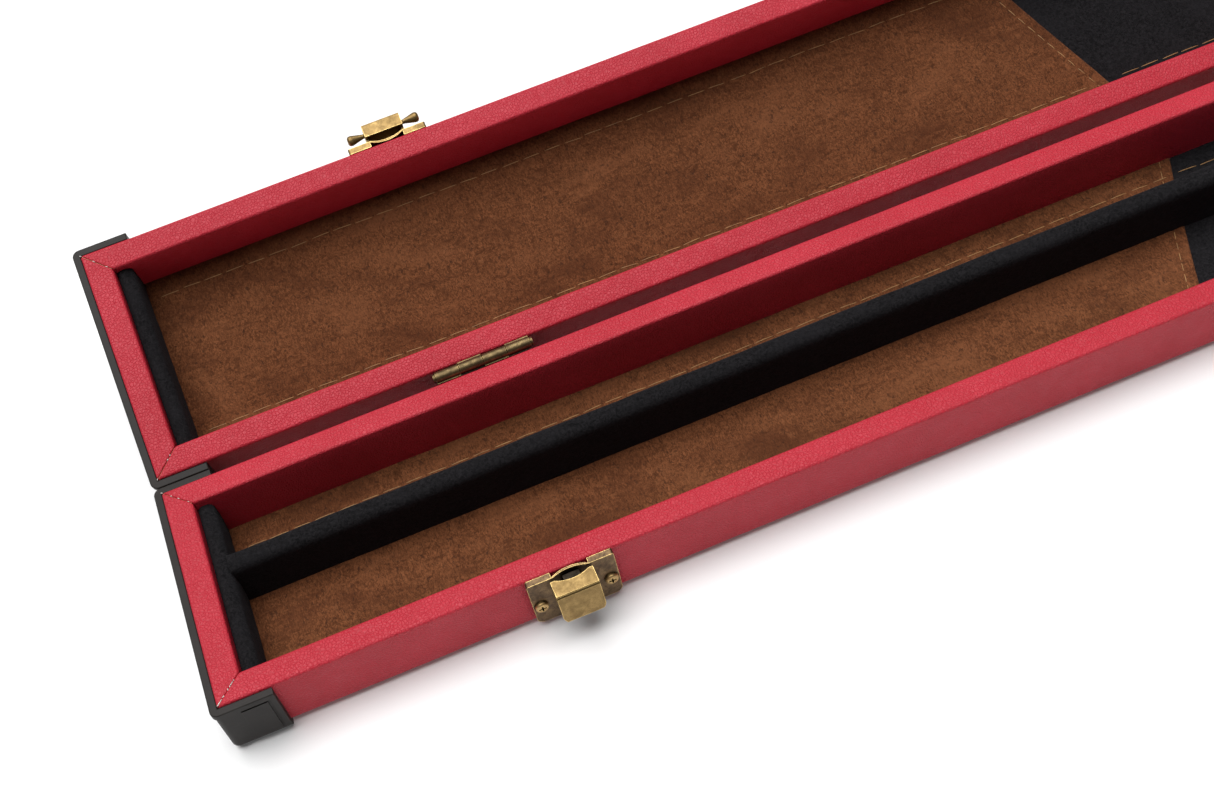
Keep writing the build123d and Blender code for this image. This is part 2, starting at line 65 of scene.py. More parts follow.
right = (TO_THE_RIGHT - TO_THE_RIGHT.dot(LOOK) * LOOK).normalized()
above = right.cross(LOOK)
camera_data = bpy.data.cameras.new("camera")
camera_data.sensor_width = SENSOR
camera_data.lens = LENS
camera_data.clip_start = 0.01
camera = bpy.data.objects.new("camera", camera_data)
bpy.context.scene.collection.objects.link(camera)
turned = Matrix((right, above, -LOOK)).transposed().to_4x4()
camera.matrix_world = Matrix.Translation(CAMERA_AT) @ turned
bpy.context.scene.camera = camera

# ---------------------------------------------------------------- dimensions, in mm
RIM = 27.2                        # rim above the underside of a half
LEATHER_X, LEATHER_Y = 617.6, 48.0    # half the outside of the leather, along and across
CAVITY_X, CAVITY_Y = 607.4, 38.0      # half the cavity
Z_LEATHER = 1.2                   # underside of the leather
Z_BOARD = 3.8                     # under the lining
Z_FLOOR = 4.4                     # top of the lining
SKIN = 0.6                        # leather thickness
PAD_X = 601.2                     # inner face of the end pads
PAD_TOP = 23.8
PAD_ROUND = 2.6                   # radius along the top edges
DIVIDER = (4.0, 12.6)             # front and back face of the divider
DIVIDER_TOP = 25.3
DIVIDER_ROUND = 3.0
DIVIDER_CLOTH = 1.0
SEAM_FROM_END = (380.0, 394.5, 410.5)     # at the front wall, the middle and the hinge wall
SEAM_INSET = 4.6                  # the seam's stitches from the patch's edge
STITCH_FRONT, STITCH_BACK = -30.5, 28.6   # lengthwise stitches, across the cavity
STITCH_PITCH, SEAM_PITCH = 9.0, 5.0
STITCH_ASTRAY = 1.6               # how far the base's back row runs askew

hinge = next(j for j in frame["joints"] if j["name"] == "lid_hinge")
HINGE_AT = Vector(hinge["pos_m"])
SHUT = math.radians(158.5)        # turn of the lid from rest to shut


def middle(node):
    low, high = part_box(node)
    return (low + high) / 2


# Each half is drawn lying on its underside with its front wall, the one with the latches, towards -y.
BASE = Matrix.Translation((0, middle("base_cover").y, 0))
opened = Matrix.Translation(HINGE_AT) @ Matrix.Rotation(-SHUT, 4, "X") @ Matrix.Translation(-HINGE_AT)
shut_lid = (Matrix.Translation((0, middle("base_cover").y, 2 * HINGE_AT.z))
            @ Matrix.Rotation(math.pi, 4, "Y"))
LID = opened @ shut_lid
HALVES = (("base", BASE), ("lid", LID))


# ---------------------------------------------------------------- mesh helpers
def finish_mesh(name, points, faces, half, body, material, sharp=40):
    """A mesh from points in mm in the frame of one half, smooth but for its sharp edges."""
    mesh = bpy.data.meshes.new(name)
    mesh.from_pydata([half @ (Vector(p) * MM) for p in points], [], faces)
    work = bmesh.new()
    work.from_mesh(mesh)
    bmesh.ops.recalc_face_normals(work, faces=work.faces)
    work.to_mesh(mesh)
    work.free()
    mesh.polygons.foreach_set("use_smooth", [True] * len(mesh.polygons))
    mesh.set_sharp_from_angle(angle=math.radians(sharp))
    mesh.materials.append(material)
    piece = bpy.data.objects.new(name, mesh)
    bpy.context.scene.collection.objects.link(piece)
    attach(piece, body)
    return piece


def loft(rings, points, faces):
    """Adds a closed solid through rings of equal length."""
    start, around = len(points), len(rings[0])
    for ring in rings:
        points.extend(ring)
    for k in range(len(rings) - 1):
        for i in range(around):
            a, b = start + k * around + i, start + k * around + (i + 1) % around
            faces.append((a, b, b + around, a + around))
    half_way = around // 2
    for k in (0, len(rings) - 1):
        first = start + k * around
        for i in range(half_way - 1):
            faces.append((first + i, first + i + 1, first + around - 2 - i, first + around - 1 - i))


def arc(centre, radius, start, end, steps):
    return [(centre[0] + radius * math.cos(math.radians(start + (end - start) * k / steps)),
             centre[1] + radius * math.sin(math.radians(start + (end - start) * k / steps)))
            for k in range(steps + 1)]


def ripple(x, y, size, seed=0.0):
    """Smooth unevenness between -1 and 1, with waves about size long."""
    a, b = x / size, y / size
    return (math.sin(1.9 * a + 1.3 * b + seed) + math.sin(-1.1 * a + 2.3 * b + 2.1 * seed)
            + math.sin(2.7 * a - 0.7 * b + 3.7 * seed)) / 3


def spread(low, high, step):
    """Even places from low to high, about step apart."""
    count = max(1, round((high - low) / step))
    return [low + (high - low) * k / count for k in range(count + 1)]


# ---------------------------------------------------------------- material helpers
class Nodes:
    """A material's node tree, built by short calls."""

    def __init__(self, name):
        self.material = bpy.data.materials.new(name)
        self.material.use_nodes = True
        self.tree = self.material.node_tree
        self.shader = self.tree.nodes["Principled BSDF"]
        self.place = self.new("ShaderNodeTexCoord").outputs["Object"]

    def new(self, kind, **values):
        node = self.tree.nodes.new(kind)
        for key, value in values.items():
            setattr(node, key, value)
        return node

    def put(self, socket, value):
        if isinstance(value, bpy.types.NodeSocket):
            self.tree.links.new(value, socket)
        else:
            socket.default_value = value

    def stretch(self, x, y, z, turn=0.0):
        node = self.new("ShaderNodeMapping")
        self.put(node.inputs["Vector"], self.place)
        node.inputs["Scale"].default_value = (x, y, z)
        node.inputs["Rotation"].default_value = (0, 0, turn)
        return node.outputs["Vector"]

    def noise(self, size_mm, detail=2.0, rough=0.5, where=None, warp=0.0):
        node = self.new("ShaderNodeTexNoise")
        self.put(node.inputs["Vector"], where or self.place)
        node.inputs["Scale"].default_value = 1000 / size_mm
        node.inputs["Detail"].default_value = detail
        node.inputs["Roughness"].default_value = rough
        node.inputs["Distortion"].default_value = warp
        return node.outputs["Fac"]

    def cells(self, size_mm, feature="F1", where=None, smooth=None):
        node = self.new("ShaderNodeTexVoronoi", feature=feature)
        self.put(node.inputs["Vector"], where or self.place)
        node.inputs["Scale"].default_value = 1000 / size_mm
        if smooth is not None:
            node.inputs["Smoothness"].default_value = smooth
        return node.outputs["Distance"]

    def maths(self, operation, a, b):
        node = self.new("ShaderNodeMath", operation=operation)
        for socket, value in zip(node.inputs, (a, b)):
            self.put(socket, value)
        return node.outputs[0]

    def fit(self, value, from_low, from_high, to_low=0.0, to_high=1.0):
        node = self.new("ShaderNodeMapRange")
        for socket, number in zip(node.inputs, (value, from_low, from_high, to_low, to_high)):
            self.put(socket, number)
        return node.outputs[0]

    def mix(self, factor, a, b):
        """Colour a where factor is 0, b where it is 1."""
        node = self.new("ShaderNodeMix", data_type="RGBA")
        self.put(node.inputs[0], factor)
        for socket, colour in zip(node.inputs[6:8], (a, b)):
            self.put(socket, colour if isinstance(colour, bpy.types.NodeSocket) else (*colour, 1))
        return node.outputs[2]

    def bump(self, height, depth_mm, strength=1.0, under=None):
        node = self.new("ShaderNodeBump")
        node.inputs["Strength"].default_value = strength
        node.inputs["Distance"].default_value = depth_mm * MM
        self.put(node.inputs["Height"], height)
        if under is not None:
            self.put(node.inputs["Normal"], under)
        return node.outputs["Normal"]

    def edges(self, radius_mm):
        """1 on outer edges, where wear and painted highlights go, 0 on flats."""
        bevel = self.new("ShaderNodeBevel", samples=6)
        bevel.inputs["Radius"].default_value = radius_mm * MM
        flat = self.new("ShaderNodeNewGeometry").outputs["Normal"]
        dot = self.new("ShaderNodeVectorMath", operation="DOT_PRODUCT")
        self.put(dot.inputs[0], bevel.outputs["Normal"])
        self.put(dot.inputs[1], flat)
        return self.fit(dot.outputs["Value"], 0.995, 0.86)

    def hollow_dirt_and_shade(self, reach_mm):
        """1 in crevices, where dirt gathers and shade falls, 0 in the open."""
        shade = self.new("ShaderNodeAmbientOcclusion", samples=6)
        shade.inputs["Distance"].default_value = reach_mm * MM
        return self.fit(shade.outputs["AO"], 0.80, 0.42)

    def set(self, **values):
        for name, value in values.items():
            if isinstance(value, tuple) and len(value) == 3:
                value = (*value, 1)
            self.put(self.shader.inputs[name.replace("_", " ")], value)
        return self.material


def red_leather():
    n = Nodes("red_leather")
    # The grain's cells are pushed about by noise, so that no crease runs straight.
    shift = n.new("ShaderNodeTexNoise")
    n.put(shift.inputs["Vector"], n.place)
    shift.inputs["Scale"].default_value = 420
    shrink = n.new("ShaderNodeVectorMath", operation="SCALE")
    n.put(shrink.inputs[0], shift.outputs["Color"])
    shrink.inputs["Scale"].default_value = 1.1 * MM
    added = n.new("ShaderNodeVectorMath", operation="ADD")
    n.put(added.inputs[0], n.place)
    n.put(added.inputs[1], shrink.outputs["Vector"])
    warped = added.outputs["Vector"]
    pebble = n.cells(0.80, "SMOOTH_F1", warped, 0.35)
    creases = n.cells(1.15, "DISTANCE_TO_EDGE", warped)
    crease = n.fit(creases, 0.0, 0.16)
    patches = n.noise(26, 3)
    grime = n.fit(n.noise(5, 4, 0.6), 0.35, 0.7)
    red = n.mix(n.fit(patches, 0.3, 0.7), (0.455, 0.020, 0.036), (0.52, 0.026, 0.046))
    # Painted shade: the grain's creases are coloured darker, where shade falls in them.
    red = n.mix(n.maths("MULTIPLY", n.fit(crease, 1, 0), 0.26), red, (0.25, 0.007, 0.012))
    red = n.mix(n.maths("MULTIPLY", grime, 0.10), red, (0.37, 0.012, 0.020))
    height = n.maths("ADD", n.maths("MULTIPLY", crease, 0.6), n.maths("MULTIPLY", pebble, -0.7))
    swell = n.bump(n.noise(11, 2), 0.25, 0.35)
    normal = n.bump(height, 0.20, 0.85, swell)
    normal = n.bump(n.noise(0.22, 2), 0.02, 0.35, normal)
    return n.set(Base_Color=red, Roughness=n.fit(grime, 0, 1, 0.44, 0.54), Normal=normal,
                 Specular_IOR_Level=0.28)


def brown_suede():
    n = Nodes("brown_suede")
    fine = n.noise(0.58, 4, 0.65, n.stretch(1.0, 0.45, 1.0, 0.4), 1.0)
    fibre_a = n.noise(1.5, 3, 0.6, n.stretch(1.0, 0.35, 1.0, 0.5), 0.8)
    fibre_b = n.noise(1.5, 3, 0.6, n.stretch(0.35, 1.0, 1.0, 0.25), 0.8)
    nap = n.mix(n.fit(n.noise(6, 2), 0.42, 0.58), (0, 0, 0), (1, 1, 1))
    fibres = n.mix(nap, fibre_a, fibre_b)
    brushed = n.noise(24, 3, 0.6, n.stretch(0.6, 1.3, 1.0, 0.3), 0.6)
    mottle = n.noise(3.4, 4, 0.7, warp=0.5)
    flecks = n.fit(n.noise(1.2, 2, 0.6, n.stretch(1.0, 0.55, 1.0, 0.9), 0.8), 0.60, 0.68)
    brown = n.mix(n.fit(fine, 0.37, 0.63), (0.066, 0.022, 0.0078), (0.216, 0.077, 0.031))
    brown = n.mix(n.maths("MULTIPLY", n.fit(fibres, 0.47, 0.36), 0.6), brown, (0.050, 0.016, 0.006))
    brown = n.mix(n.maths("MULTIPLY", n.fit(fibres, 0.56, 0.70), 0.35), brown, (0.240, 0.096, 0.042))
    brown = n.mix(n.maths("MULTIPLY", n.fit(mottle, 0.42, 0.72), 0.5), brown, (0.085, 0.028, 0.011))
    brown = n.mix(n.maths("MULTIPLY", n.fit(brushed, 0.50, 0.70), 0.65), brown, (0.070, 0.022, 0.009))
    brown = n.mix(n.maths("MULTIPLY", n.fit(brushed, 0.46, 0.28), 0.45), brown, (0.215, 0.080, 0.034))
    brown = n.mix(n.maths("MULTIPLY", flecks, 0.60), brown, (0.028, 0.012, 0.007))
    normal = n.bump(mottle, 0.5, 0.6)
    normal = n.bump(fibres, 0.5, 0.9, normal)
    normal = n.bump(fine, 0.45, 0.9, normal)
    return n.set(Base_Color=brown, Roughness=n.fit(fine, 0.3, 0.7, 0.85, 1.0), Normal=normal,
                 Specular_IOR_Level=0.10, Sheen_Weight=0.08, Sheen_Roughness=0.5,
                 Sheen_Tint=(0.95, 0.55, 0.32))


def black_cloth():
    n = Nodes("black_cloth")
    warp = n.new("ShaderNodeTexWave", wave_type="BANDS", bands_direction="X")
    weft = n.new("ShaderNodeTexWave", wave_type="BANDS", bands_direction="Y")
    for wave in (warp, weft):
        n.put(wave.inputs["Vector"], n.place)
        wave.inputs["Scale"].default_value = 420
        wave.inputs["Distortion"].default_value = 2.2
        wave.inputs["Detail Scale"].default_value = 1.2
    weave = n.maths("MAXIMUM", warp.outputs["Fac"], weft.outputs["Fac"])
    fuzz = n.noise(1.2, 5, 0.75, warp=1.0)
    lint = n.fit(n.noise(1.1, 2, 0.6, warp=2.0), 0.70, 0.78)
    worn = n.noise(18, 3, 0.6)
    black = n.mix(n.fit(fuzz, 0.40, 0.62), (0.0022, 0.0020, 0.0024), (0.0160, 0.0147, 0.0162))
    black = n.mix(n.maths("MULTIPLY", n.fit(worn, 0.45, 0.75), 0.5), black, (0.0130, 0.0120, 0.0138))
    black = n.mix(n.maths("MULTIPLY", lint, 0.25), black, (0.060, 0.056, 0.058))
    normal = n.bump(weave, 0.05, 0.35)
    normal = n.bump(n.noise(2.2, 3, 0.6), 0.45, 0.8, normal)
    normal = n.bump(fuzz, 0.45, 1.0, normal)
    return n.set(Base_Color=black, Roughness=n.fit(fuzz, 0.3, 0.7, 0.85, 1.0), Normal=normal,
                 Specular_IOR_Level=0.12, Sheen_Weight=0.03, Sheen_Roughness=0.5,
                 Sheen_Tint=(0.80, 0.82, 0.92))


def thread(name, light, dark):
    n = Nodes(name)
    twist = n.new("ShaderNodeTexWave", wave_type="BANDS", bands_direction="DIAGONAL")
    n.put(twist.inputs["Vector"], n.place)
    twist.inputs["Scale"].default_value = 900
    twist.inputs["Distortion"].default_value = 1.0
    tone = n.noise(4, 2)
    colour = n.mix(n.fit(tone, 0.3, 0.7), dark, light)
    return n.set(Base_Color=colour, Roughness=n.fit(tone, 0.3, 0.7, 0.45, 0.6),
                 Normal=n.bump(twist.outputs["Fac"], 0.05, 0.6), Sheen_Weight=0.2, Sheen_Roughness=0.4)


def brass(name, dark, light, tarnish, rub_and_highlight=0.9):
    """Darkened brass, bright along its edges, partly worn brass and partly a painted highlight, and darker in
    its corners, partly dirt and partly painted shade.
    """
    n = Nodes(name)
    cloud = n.noise(3.2, 5, 0.65, warp=0.6)
    speck = n.noise(0.6, 3, 0.7)
    scratch = n.noise(0.8, 2, 0.5, n.stretch(0.12, 1.0, 1.0, 0.35))
    # worn: the edge mask for bright edges, partly real wear and partly a painted highlight.
    worn = n.maths("MULTIPLY", n.edges(0.45), n.fit(cloud, 0.25, 0.55, 0.4 * rub_and_highlight, rub_and_highlight))
    metal = n.mix(n.fit(cloud, 0.36, 0.68), dark, light)
    metal = n.mix(n.maths("MULTIPLY", n.fit(speck, 0.52, 0.72), tarnish), metal, (0.050, 0.034, 0.018))
    # Painted highlight along the edges, mixed with worn bright brass.
    metal = n.mix(worn, metal, (0.84, 0.60, 0.24))
    # Painted shade and dirt: crevices are darkened from ambient occlusion.
    metal = n.mix(n.hollow_dirt_and_shade(1.7), metal, (0.018, 0.012, 0.008))
    rough = n.fit(cloud, 0.3, 0.7, 0.56, 0.44)
    rough = n.maths("SUBTRACT", rough, n.maths("MULTIPLY", worn, 0.10))
    normal = n.bump(cloud, 0.05, 0.4)
    normal = n.bump(scratch, 0.015, 0.3, normal)
    return n.set(Base_Color=metal, Metallic=1.0, Roughness=rough, Normal=normal)


def black_plastic(name, dark, light):
    n = Nodes(name)
    texture = n.noise(0.35, 3, 0.6)
    cloud = n.noise(9, 3, 0.6)
    scuffs = n.fit(n.noise(1.5, 3, 0.6, n.stretch(0.15, 1.0, 1.0, 0.7)), 0.62, 0.74)
    # Painted highlight: the outer edges are coloured lighter, together with some wear.
    edge = n.maths("MULTIPLY", n.edges(0.5), n.fit(cloud, 0.3, 0.6, 0.4, 1.0))
    colour = n.mix(n.fit(cloud, 0.3, 0.7), dark, light)
    colour = n.mix(n.maths("MULTIPLY", edge, 0.35), colour, (0.050, 0.045, 0.041))
    colour = n.mix(n.maths("MULTIPLY", scuffs, 0.25), colour, (0.040, 0.036, 0.033))
    rough = n.fit(texture, 0.3, 0.7, 0.50, 0.60)
    return n.set(Base_Color=colour, Roughness=rough, Normal=n.bump(texture, 0.03, 0.35),
                 Specular_IOR_Level=0.26)


def raw_wood():
    n = Nodes("raw_wood")
    grain = n.noise(2.2, 5, 0.6, n.stretch(0.05, 1, 1), 0.5)
    pores = n.noise(0.5, 2, 0.6, n.stretch(0.04, 1, 1))
    colour = n.mix(n.fit(grain, 0.3, 0.7), (0.50, 0.33, 0.17), (0.68, 0.50, 0.30))
    colour = n.mix(n.maths("MULTIPLY", n.fit(pores, 0.58, 0.7), 0.5), colour, (0.30, 0.18, 0.09))
    return n.set(Base_Color=colour, Roughness=n.fit(grain, 0.3, 0.7, 0.6, 0.75),
                 Normal=n.bump(grain, 0.05, 0.4))


LEATHER, SUEDE, CLOTH = red_leather(), brown_suede(), black_cloth()
GOLD_THREAD = thread("gold_thread", (0.40, 0.215, 0.075), (0.24, 0.120, 0.040))
BACKING = thread("leather_backing", (0.80, 0.77, 0.72), (0.60, 0.56, 0.52))
PLATE_BRASS = brass("plate_brass", (0.090, 0.058, 0.037), (0.22, 0.145, 0.075), 0.7)
BOX_BRASS = brass("box_brass", (0.215, 0.140, 0.056), (0.34, 0.228, 0.092), 0.45, 1.0)
HINGE_BRASS = brass("hinge_brass", (0.085, 0.061, 0.032), (0.20, 0.142, 0.068), 0.5, 0.25)
SCREW_BRASS = brass("screw_brass", (0.32, 0.205, 0.088), (0.56, 0.38, 0.170), 0.3)
HOOK_STEEL = brass("hook_steel", (0.012, 0.010, 0.008), (0.030, 0.024, 0.018), 0.6, 0.0)
CAP_PLASTIC = black_plastic("cap_plastic", (0.0110, 0.0084, 0.0070), (0.0170, 0.0134, 0.0114))
HANDLE_PLASTIC = black_plastic("handle_plastic", (0.014, 0.013, 0.0125), (0.024, 0.022, 0.021))
WOOD = raw_wood()

for name, node in nodes.items():
    if "hinge" in name and "screws" not in name:
        look = HINGE_BRASS
    elif name.startswith("keeper_pin"):
        look = BOX_BRASS
    elif "screws" in name or name.endswith("pins") or "_pin_" in name:
        look = SCREW_BRASS
    elif name.startswith("latch_hook"):
        look = HOOK_STEEL
    elif name.startswith("latch_plate"):
        look = PLATE_BRASS
    elif name.startswith("latch_lever") or name.startswith("keeper"):
        look = BOX_BRASS
    elif name.startswith("handle"):
        look = HANDLE_PLASTIC if name == "handle_grip" else PLATE_BRASS
    elif name.endswith("cap"):
        look = CAP_PLASTIC
    else:
        look = WOOD
    for spot in node.material_slots:
        spot.material = look


# ---------------------------------------------------------------- leather
WRAP_UNDER = 14.0                 # how far the wall leather runs under the case
MITRE_GAP = 0.10                  # from each strip's end to the mitre
FIBRES_NEAR, FIBRES_FAR = 18, 4   # in each mitre of the base's front wall, and in the others


def wall_section(wide):
    """Leather over one wall: pairs of (inward, up) points, outer surface and flesh side."""
    bottom, rim, steps = 3.0, 1.1, 5
    outer, inner = [], []
    for skin, line in ((0.0, outer), (SKIN, inner)):
        line += [(WRAP_UNDER - k * (WRAP_UNDER - 3.2) / 3, Z_LEATHER + skin) for k in range(3)]
        line += arc((bottom, Z_LEATHER + bottom), bottom - skin, 270, 180, steps)
        line += [(skin, z) for z in spread(Z_LEATHER + bottom, RIM - rim, 4)[1:-1]]
        line += arc((rim, RIM - rim), rim - skin, 180, 90, steps)
        line += [(d, RIM - skin) for d in spread(rim, wide - rim, 2)[1:-1]]
        line += arc((wide - rim, RIM - rim), rim - skin, 90, 0, steps)
        line += [(wide - skin, z) for z in spread(RIM - rim, Z_BOARD + 0.05, 4)[1:]]
    return outer, inner


def leather_strip(points, faces, wide, reach, depth, place, seed):
    """One wall's leather, mitred at both ends. place(along, inward, up) gives a point of the half."""
    outer, inner = wall_section(wide)
    sunk = ((0.0, 0.85), (0.10, 0.42), (0.28, 0.16), (0.6, 0.04), (1.2, 0.0), (4.0, 0.0))
    ends = [(reach - MITRE_GAP - back, sink) for back, sink in sunk]
    stations = [(-s, k) for s, k in ends] + [(s, 0.0) for s in spread(-reach + 10, reach - 10, 9)]
    stations += list(reversed(ends))
    rings = []
    for s, sink in stations:
        ring_out, ring_in = [], []
        for (d0, z0), (d1, z1) in zip(outer, inner):
            wave = 0.05 * ripple(s, 3 * z0 + 5 * d0, 14, seed) + 0.04 * ripple(s, z0 + d0, 47, seed + 2)
            f = sink + wave
            top = (d0 + f * (d1 - d0), z0 + f * (z1 - z0))
            for (d, z), ring in ((top, ring_out), ((d1, z1), ring_in)):
                along = s * (1 - depth * d / reach)
                ring.append(place(along, d, z))
        rings.append(ring_out + ring_in[::-1])
    loft(rings, points, faces)


def leather(name, half):
    """The skin of a half: a strip over each wall and a sheet under the case."""
    points, faces = [], []
    end_wide = LEATHER_X - CAVITY_X
    side_wide = LEATHER_Y - CAVITY_Y
    slope = end_wide / side_wide
    leather_strip(points, faces, side_wide, LEATHER_X, slope,
                  lambda s, d, z: (s, -LEATHER_Y + d, z), 1)
    leather_strip(points, faces, side_wide, LEATHER_X, slope,
                  lambda s, d, z: (-s, LEATHER_Y - d, z), 5)
    leather_strip(points, faces, end_wide, LEATHER_Y, 1 / slope,
                  lambda s, d, z: (-LEATHER_X + d, -s, z), 9)
    leather_strip(points, faces, end_wide, LEATHER_Y, 1 / slope,
                  lambda s, d, z: (LEATHER_X - d, s, z), 13)
    under_x, under_y = LEATHER_X - WRAP_UNDER * slope, LEATHER_Y - WRAP_UNDER
    rings = []
    for x in spread(-under_x + 0.3, under_x - 0.3, 12):
        across = spread(-under_y + 0.3, under_y - 0.3, 5)
        top = [(x, y, Z_LEATHER + SKIN) for y in across]
        low = [(x, y, Z_LEATHER + 0.12 + 0.04 * ripple(x, y, 21, 4)) for y in across]
        rings.append(top + low[::-1])
    loft(rings, points, faces)
    piece = finish_mesh(f"{name}_leather", points, faces, half, name, LEATHER, 38)
    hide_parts(f"{name}_cover")


def seam_fluff(name, half):
    """Pale backing fibres that show in the mitre seams, most of them along the base's front wall."""
    points, faces = [], []
    for side_x in (-1, 1):
        for side_y in (-1, 1):
            near = (name, side_y) == ("base", -1)
            for k in range(FIBRES_NEAR if near else FIBRES_FAR):
                d = (0.5 + dice.random() * 8.6) if k else 0.2
                if k % 3 == 0 and near:
                    d = dice.uniform(0.3, 3.0)
                x, y = side_x * (LEATHER_X - d * 1.02), side_y * (LEATHER_Y - d)
                turn = math.atan2(side_y, side_x) + dice.uniform(-0.7, 0.7)
                rod(points, faces, Vector((x, y, RIM - 0.08)), turn, dice.uniform(0.35, 1.0), 0.14, 0.05)
    finish_mesh(f"{name}_seam_fibres", points, faces, half, name, BACKING, 60)


# ---------------------------------------------------------------- thread
def rod(points, faces, centre, turn, length, radius, arch):
    """A short length of thread lying flat, humped in the middle, with its ends tucked down."""
    around, steps = 6, 6
    along = Vector((math.cos(turn), math.sin(turn), 0))
    side = Vector((-along.y, along.x, 0))
    rings = []
    for k in range(steps + 1):
        t = -1 + 2 * k / steps
        thick = radius * max(0.30, (1 - t ** 6)) ** 0.5
        spine = centre + along * (t * length / 2) + Vector((0, 0, arch * (1 - t * t) - 0.6 * radius * t ** 4))
        rings.append([tuple(spine + side * (thick * math.cos(a)) + Vector((0, 0, thick * math.sin(a))))
                      for a in (2 * math.pi * i / around for i in range(around))])
    loft(rings, points, faces)


def stitch_line(points, faces, path, pitch, surface, fill=0.86, radius=0.165, wander=0.22):
    """Stitches along path, a function from mm travelled to (x, y), or None past its end."""
    travelled = pitch * 0.6
    while True:
        here, ahead = path(travelled), path(travelled + 0.5)
        if here is None or ahead is None:
            return
        turn = math.atan2(ahead[1] - here[1], ahead[0] - here[0]) + dice.gauss(0, 0.025)
        x, y = here[0], here[1] + wander * dice.uniform(-1, 1)
        long = pitch * (fill + dice.uniform(-0.05, 0.04))
        rod(points, faces, Vector((x, y, surface(x, y) + 0.02)), turn, long, radius, 0.09)
        travelled += pitch * (1 + dice.uniform(-0.03, 0.03))


def straight(x0, x1, y0, y1):
    """A line along the case, as a path."""
    length = abs(x1 - x0)

    def path(s):
        if s > length - 3:
            return None
        return x0 + (x1 - x0) * s / length, y0 + (y1 - y0) * s / length
    return path


# ---------------------------------------------------------------- linings
def circle_through(a, b, c):
    """Centre and radius of the circle through three points."""
    d = 2 * (a[0] * (b[1] - c[1]) + b[0] * (c[1] - a[1]) + c[0] * (a[1] - b[1]))
    sa, sb, sc = (p[0] ** 2 + p[1] ** 2 for p in (a, b, c))
    x = (sa * (b[1] - c[1]) + sb * (c[1] - a[1]) + sc * (a[1] - b[1])) / d
    y = (sa * (c[0] - b[0]) + sb * (a[0] - c[0]) + sc * (b[0] - a[0])) / d
    return x, y, math.hypot(a[0] - x, a[1] - y)


SEAM_CENTRE_X, SEAM_CENTRE_Y, SEAM_RADIUS = circle_through(
    *((LEATHER_X - reach, y) for reach, y in zip(SEAM_FROM_END, (-CAVITY_Y, 0, CAVITY_Y))))
SEAM_SIDE = 1 if SEAM_CENTRE_X < LEATHER_X - SEAM_FROM_END[1] else -1


def seam_x(y):
    """Distance of the lining's seam from the middle of the case."""
    return SEAM_CENTRE_X + SEAM_SIDE * math.sqrt(SEAM_RADIUS ** 2 - (y - SEAM_CENTRE_Y) ** 2)


def dip(distance, reach):
    """1 on a stitched line, falling to 0 at reach."""
    t = min(1.0, abs(distance) / reach)
    return (1 - t) ** 2 * (1 + 2 * t)


def lining_height(x, y):
    """Top of the lining: drawn down along its stitches, a little full between them."""
    pull = max(dip(y - STITCH_FRONT, 4.5), dip(y - STITCH_BACK, 4.5))
    full = 0.22 * (1 - min(1.0, abs(y) / CAVITY_Y) ** 4)
    return Z_FLOOR + full - 0.38 * pull + 0.14 * ripple(x, y, 17, 1.3) + 0.07 * ripple(x, y, 6, 4.1)


def suede_height(x, y):
    """The patch lies over the black cloth, so it stands proud and rolls down at its cut edge."""
    inside = abs(x) - seam_x(y)
    edge = 0.42 * min(1.0, max(0.0, inside) / 0.8) ** 0.5
    return lining_height(x, y) + 0.10 + edge - 0.30 * dip(inside - SEAM_INSET, 2.2)


def sheet_solid(name, half, columns, rows, spot, height, under, material):
    """A thin sheet over a grid; spot(u, v) gives its plan position."""
    points, faces, rings = [], [], []
    for u in columns:
        plan = [spot(u, v) for v in rows]
        top = [(x, y, height(x, y)) for x, y in plan]
        low = [(x, y, under) for x, y in plan]
        rings.append(top + low[::-1])
    loft(rings, points, faces)
    return finish_mesh(name, points, faces, half, name.split("_")[0], material, 50)


def linings(name, half):
    """Suede from each pad to the seam, and black cloth between the seams."""
    rows = spread(-CAVITY_Y + 0.05, CAVITY_Y - 0.05, 2.4)
    for side, word in ((-1, "left"), (1, "right")):
        def spot(u, v):
            near = seam_x(v)
            return side * (near + (PAD_X + 1.5 - near) * u), v
        close = [0.0005, 0.0012, 0.0022, 0.004, 0.006, 0.012, 0.015, 0.018]    # where the cut edge rolls
        steps = sorted(set(spread(0, 1, 0.0085) + close))
        piece = sheet_solid(f"{name}_suede_{word}", half, steps, rows, spot, suede_height, Z_BOARD,
                            SUEDE)
        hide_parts(f"{name}_lining_{word}")
    columns = spread(-1, 1, 0.012)
    piece = sheet_solid(f"{name}_cloth", half, columns, rows, lambda u, v: (u * (seam_x(v) + 0.05), v),
                        lining_height, Z_BOARD, CLOTH)
    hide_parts(f"{name}_lining_middle")


def stitching(name, half):
    """Lengthwise stitches along both edges of the lining, and a closer row inside each seam."""
    points, faces = [], []
    for y in (STITCH_FRONT, STITCH_BACK):
        astray = STITCH_ASTRAY if (name, y) == ("base", STITCH_BACK) else 0.0
        for side in (-1, 1):
            edge = side * (seam_x(y) + 1.5)
            stitch_line(points, faces, straight(side * (PAD_X - 3), edge, y - astray, y + 0.6 * astray),
                        STITCH_PITCH, suede_height)
        y += 0.6 * astray
        across = straight(-seam_x(y) + 1.0, seam_x(y) - 1.0, y, y)
        stitch_line(points, faces, across, STITCH_PITCH, lining_height)
    for side in (-1, 1):
        def path(s):
            y = -CAVITY_Y + 1.5 + s
            return (side * (seam_x(y) + SEAM_INSET), y) if y < CAVITY_Y - 1 else None
        stitch_line(points, faces, path, SEAM_PITCH, suede_height, 0.78, 0.155, 0.0)
    finish_mesh(f"{name}_stitches", points, faces, half, name, GOLD_THREAD, 60)


